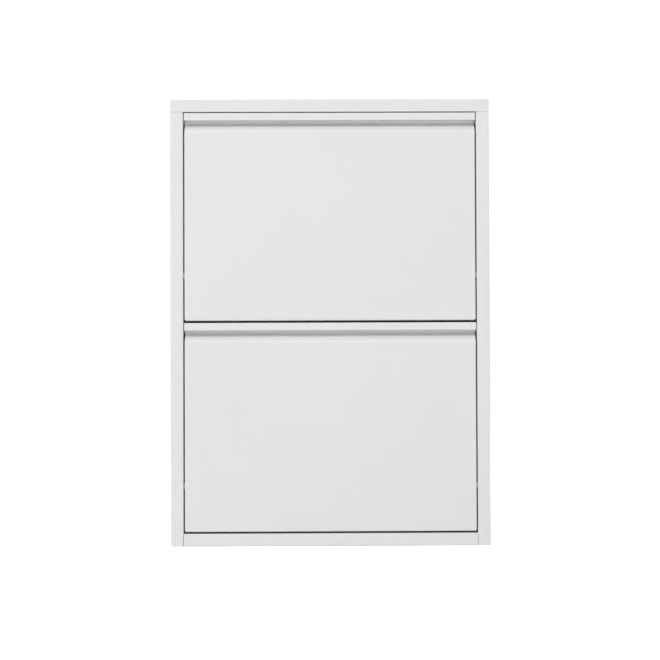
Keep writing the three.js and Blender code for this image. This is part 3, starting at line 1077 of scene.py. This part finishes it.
def makePivotBush(level, side, sign, hinge):
    look = bushPiece
    low, high = boxOf(f"{level}_pivot_bush_{side}")
    inner, tip = sorted((abs(low.x), abs(high.x)))
    seat = inner + look["flangeDepth"]
    bore, flange, barrel, lip, soft = (look[key] for key in ("bore", "flange", "barrel", "lip", "round"))
    throughX = openingX + stock["sheet"] + stock["gap"]
    profile = [
        (bore + soft, inner),
        (flange - soft, inner),
        (flange, inner + soft),
        (flange, seat - soft),
        (flange - soft, seat),
        (barrel, seat),
        (barrel, throughX),
        (lip, throughX + 0.1),
        (lip, throughX + 0.4),
        (barrel, tip),
        (bore + soft, tip),
        (bore, tip - soft),
        (bore, inner + soft),
    ]
    bush = turned(f"pivotBush.{level}.{side}", profile, (0, hinge.y, hinge.z), sign=sign)
    finishPiece(bush, "carcass", [f"{level}_pivot_bush_{side}"], nylon, edge=0)


def makeStopSleeve(level, side, sign):
    look = sleevePiece
    node = f"{level}_stop_sleeve_{side}"
    low, high = boxOf(node)
    inner, tip = sorted((abs(low.x), abs(high.x)))
    bore, outer, soft = look["inner"], look["outer"], look["round"]
    profile = [
        (bore, inner),
        (outer - soft, inner),
        (outer - soft * 0.3, inner + soft * 0.3),
        (outer, inner + soft),
        (outer, tip - soft),
        (outer - soft * 0.3, tip - soft * 0.3),
        (outer - soft, tip),
        (bore, tip),
    ]
    centre = middleOf(node)
    sleeve = turned(f"stopSleeve.{level}.{side}", profile, (0, centre.y, centre.z), sign=sign)
    finishPiece(sleeve, f"{level}_flap", [node], rubber, edge=0)


def makeClosingBuffer(level, side):
    look = bufferPiece
    node = f"{level}_closing_buffer_{side}"
    low, high = boxOf(node)
    centre = middleOf(node)
    face, base, soft = look["face"], look["base"], look["round"]
    profile = [
        (0, low.y),
        (face - soft * 2, low.y + 0.05),
        (face - soft * 0.3, low.y + soft * 0.4),
        (face, low.y + soft),
        (base, high.y),
        (0, high.y),
    ]
    buffer = turned(f"closingBuffer.{level}.{side}", profile, (0, 0, 0))
    standing = Matrix.Translation(Vector((centre.x, 0, centre.z)) * mm)
    buffer.data.transform(standing @ Matrix.Rotation(math.pi / 2, 4, "Z"))
    finishPiece(buffer, "carcass", [node], rubber, edge=0)


for level, hinge in levels.items():
    for side, sign in sides.items():
        makePivotPin(level, side, sign, hinge)
        makePivotBush(level, side, sign, hinge)
        makeStopSleeve(level, side, sign)
        makeClosingBuffer(level, side)
report("hinges fitted")


screwPiece = {
    "head": 3.8,
    "headHeight": 2.2,
    "shank": 2.0,
    "length": 7.0,
    "pitch": 0.8,
    "threadDepth": 0.28,
    "recess": (1.9, 0.62, 1.3),
    "seed": 11,
}
weldPiece = {
    "radius": 2.6,
    "rise": 0.09,
    "behindFront": 8,
    "cheekRises": (16, 42, 100, 144, 188, 232, 270),  # above the flap's bottom edge, as trayRise is
    "trayRise": 26,
    "trayPlaces": (-190, -95, 0, 95, 190),
    "bracketReach": 18,  # before and behind the bracket's middle
    "bracketDrop": 2,
    "seed": 5,
}


def threadedShank(look, segments=24, perTurn=5):
    # A tube whose radius rises and falls along a helix; its ends close in a flat and a point.
    shape = bmesh.new()
    count = round(look["length"] / look["pitch"] * perTurn)
    rings = []
    for row in range(count + 1):
        z = -look["length"] * row / count
        taper = min(1, (count - row) / perTurn * 0.8 + 0.2)
        ring = []
        for step in range(segments):
            phase = (z / look["pitch"] + step / segments) % 1
            depth = look["threadDepth"] * abs(2 * phase - 1)
            radius = (look["shank"] - depth) * taper
            angle = 2 * math.pi * step / segments
            across, up = radius * math.cos(angle) * mm, radius * math.sin(angle) * mm
            ring.append(shape.verts.new((across, up, z * mm)))
        rings.append(ring)
    for upper, lower in zip(rings, rings[1:]):
        for i in range(segments):
            j = (i + 1) % segments
            shape.faces.new((upper[i], lower[i], lower[j], upper[j]))
    shape.faces.new(rings[0])
    shape.faces.new(list(reversed(rings[-1])))
    bmesh.ops.recalc_face_normals(shape, faces=shape.faces)
    return fromBmesh("shank", shape)


def makeScrewShape():
    # Stands on its seat with its head up +Z and its shank down.
    look = screwPiece
    head, height = look["head"], look["headHeight"]
    profile = [
        (0, height),
        (head * 0.3, height * 0.985),
        (head * 0.58, height * 0.92),
        (head * 0.8, height * 0.76),
        (head * 0.94, height * 0.5),
        (head, height * 0.2),
        (head, 0.08),
        (head - 0.1, 0),
        (0, 0),
    ]
    screw = turned("screwShape", profile, (0, 0, 0), 40)
    screw.data.transform(Matrix.Rotation(-math.pi / 2, 4, "Y"))
    shank = threadedShank(look)
    shank.data.transform(Matrix.Translation((0, 0, 0.2 * mm)))
    combine(screw, [shank], "UNION")
    arm, thick, depth = look["recess"]
    cross = slab((-arm, -thick / 2, height - depth), (arm, thick / 2, height + 1))
    other = slab((-thick / 2, -arm, height - depth), (thick / 2, arm, height + 1))
    combine(screw, [cross, other], "DIFFERENCE")
    return screw


def makeWeldShape():
    # The shallow ring that a spot welder's tip leaves under the coat.
    look = weldPiece
    radius, rise = look["radius"], look["rise"]
    profile = [
        (0, rise * 0.2),
        (radius * 0.55, rise * 0.3),
        (radius * 0.72, rise),
        (radius * 0.86, rise * 0.9),
        (radius, 0),
        (0, -rise),
    ]
    weld = turned("weldShape", profile, (0, 0, 0), 20)
    weld.data.transform(Matrix.Rotation(-math.pi / 2, 4, "Y"))
    return weld


def copiesOnSeats(name, seats, shape, material, seed):
    # seats are (place in millimetres, the way the seat faces).
    mesh = bpy.data.meshes.new(name)
    mesh.from_pydata([Vector(spot) * mm for spot, _ in seats], [], [])
    facing = mesh.attributes.new("facing", "FLOAT_VECTOR", "POINT")
    for i, (_, way) in enumerate(seats):
        facing.data[i].vector = way
    obj = addObject(name, mesh)
    useTree(obj, seatTree, {"Copy": shape, "Seed": seed, "Material": material})
    bake(obj)
    if "facing" in obj.data.attributes:
        obj.data.attributes.remove(obj.data.attributes["facing"])
    return obj


def makeScrews():
    shape = makeScrewShape()
    ways = {"top": Vector((0, 0, -1)), "bottom": Vector((0, 0, 1)), "back": Vector((0, 1, 0))}
    seats, nodes = [], []
    for node in sorted(frame["nodes"]):
        kind = node.split("_")[0]
        if "_screw_" not in node:
            continue
        low, high = boxOf(node)
        way = ways[kind]
        # The seat lies one head height inside the end that the head is on.
        end = Vector([high[i] if way[i] > 0 else low[i] for i in range(3)])
        middle = (low + high) / 2
        seat = Vector([end[i] - way[i] * screwPiece["headHeight"] if way[i] else middle[i] for i in range(3)])
        seats.append((seat, way))
        nodes.append(node)
    screws = copiesOnSeats("carcassScrews", seats, shape, zinc, screwPiece["seed"])
    bpy.data.objects.remove(shape)
    finishPiece(screws, "carcass", nodes, zinc, edge=0.08, rounds=1)


def makeWeldMarks():
    shape = makeWeldShape()
    seats = []
    for level in ("top", "bottom"):
        node = f"corner_bracket_{level}_right"
        middle = middleOf(node)
        innerX = boxOf(node)[1].x - bracketPiece["thickness"]
        weldZ = middle.z - weldPiece["bracketDrop"]
        for sign in sides.values():
            for end in (-1, 1):
                spot = (sign * innerX, middle.y + end * weldPiece["bracketReach"], weldZ)
                seats.append((spot, Vector((-sign, 0, 0))))
    marks = copiesOnSeats("carcassWelds", seats, shape, powderCoat, weldPiece["seed"])
    finishPiece(marks, "carcass", [], powderCoat, edge=0)
    for level in levels:
        cheekX = boxOf(f"{level}_cheek_right")[0].x
        flapBottom = boxOf(f"{level}_flap_front")[0].z
        seats = []
        for sign in sides.values():
            for rise in weldPiece["cheekRises"]:
                spot = (sign * cheekX, front + weldPiece["behindFront"], flapBottom + rise)
                seats.append((spot, Vector((-sign, 0, 0))))
        trayLow = boxOf(f"{level}_shoe_tray")[0]
        for x in weldPiece["trayPlaces"]:
            spot = (x, trayLow.y + stock["sheet"], flapBottom + weldPiece["trayRise"])
            seats.append((spot, Vector((0, 1, 0))))
        marks = copiesOnSeats(f"flapWelds.{level}", seats, shape, powderCoat, weldPiece["seed"])
        finishPiece(marks, f"{level}_flap", [], powderCoat, edge=0)
    bpy.data.objects.remove(shape)


makeScrews()
makeWeldMarks()
report("screws and welds set")


studio = {
    "floorSize": 14.0,
    "floorPaint": (0.8, 0.8, 0.8, 1),
    "floorGlow": 0.95,
    "skyLight": 0.3,
    "skySeen": 1.05,
}
lampAim = Vector((0, 0, 0.35))
# Each lamp: watts, place, then width and height, in metres.
lamps = {
    "softKey": (111.0, (-1.2, -3.0, 3.95), (3.8, 1.9)),
    "lowFill": (20.0, (-0.1, -3.5, 0.45), (4.1, 1.0)),
    "leftFill": (15.0, (-3.2, 0.25, 1.5), (2.2, 1.6)),
    "rightFill": (19.0, (3.2, 0.25, 1.5), (2.2, 1.6)),
    "rearFill": (40.0, (-0.8, 3.2, 2.4), (3.2, 1.8)),
}


def addLamp(name, power, spot, size):
    lamp = bpy.data.lights.new(name, "AREA")
    lamp.shape = "RECTANGLE"
    lamp.size, lamp.size_y = size
    lamp.energy = power
    placed = addObject(name, lamp)
    placed.location = spot
    placed.rotation_euler = (lampAim - Vector(spot)).to_track_quat("-Z", "Y").to_euler()


def whenSeen(tree, lit, seen):
    # One value for what lights the room, another where the camera looks straight at it.
    direct = place(tree, "ShaderNodeLightPath").outputs["Is Camera Ray"]
    return remap(tree, direct, 0.0, 1.0, lit, seen)


def makeStudio():
    look = studio
    shape = bmesh.new()
    bmesh.ops.create_grid(shape, x_segments=1, y_segments=1, size=look["floorSize"] / 2)
    floor = fromBmesh("studioFloor", shape)
    floor.data.transform(Matrix.Translation((0, 0, cadBounds[0].z)))
    paint, tree, shader = startMaterial("paleFloor", {"Roughness": 0.9, "Emission Color": (1, 1, 1, 1)})
    shader.inputs["Base Color"].default_value = look["floorPaint"]
    tree.links.new(whenSeen(tree, 0.0, look["floorGlow"]), shader.inputs["Emission Strength"])
    floor.data.materials.append(paint)
    world = bpy.data.worlds.new("paleRoom")
    world.use_nodes = True
    tree = world.node_tree
    sky = tree.nodes["Background"]
    sky.inputs["Color"].default_value = (1, 1, 1, 1)
    tree.links.new(whenSeen(tree, look["skyLight"], look["skySeen"]), sky.inputs["Strength"])
    scene.world = world
    for name, settings in lamps.items():
        addLamp(name, *settings)


cameraPlace = {
    "distance": 3.0,
    "frameWidth": 1.033,
    "azimuth": -0.6,
    "elevation": -1.4,
    "roll": -0.21,
    "aim": (-0.45, -12.35),  # across and above the middle of the front, in millimetres
}


def makeCamera():
    look = cameraPlace
    lens = bpy.data.cameras.new("portrait")
    lens.sensor_width = 36.0
    lens.lens = lens.sensor_width * look["distance"] / look["frameWidth"]
    lens.clip_end = 50
    camera = addObject("portrait", lens)
    middleZ = (cabinetLow.z + cabinetHigh.z) / 2
    target = Vector((look["aim"][0], front, middleZ + look["aim"][1])) * mm
    turn = Matrix.Rotation(math.radians(look["azimuth"]), 4, "Z")
    lift = Matrix.Rotation(math.radians(90 - look["elevation"]), 4, "X")
    rolled = Matrix.Rotation(math.radians(look["roll"]), 4, "Z")
    facing = turn @ lift @ rolled
    standAt = target + facing.to_3x3() @ Vector((0, 0, look["distance"]))
    camera.matrix_world = Matrix.Translation(standAt) @ facing
    scene.camera = camera


makeStudio()
makeCamera()
scene.view_settings.view_transform = "Standard"
report("studio ready")
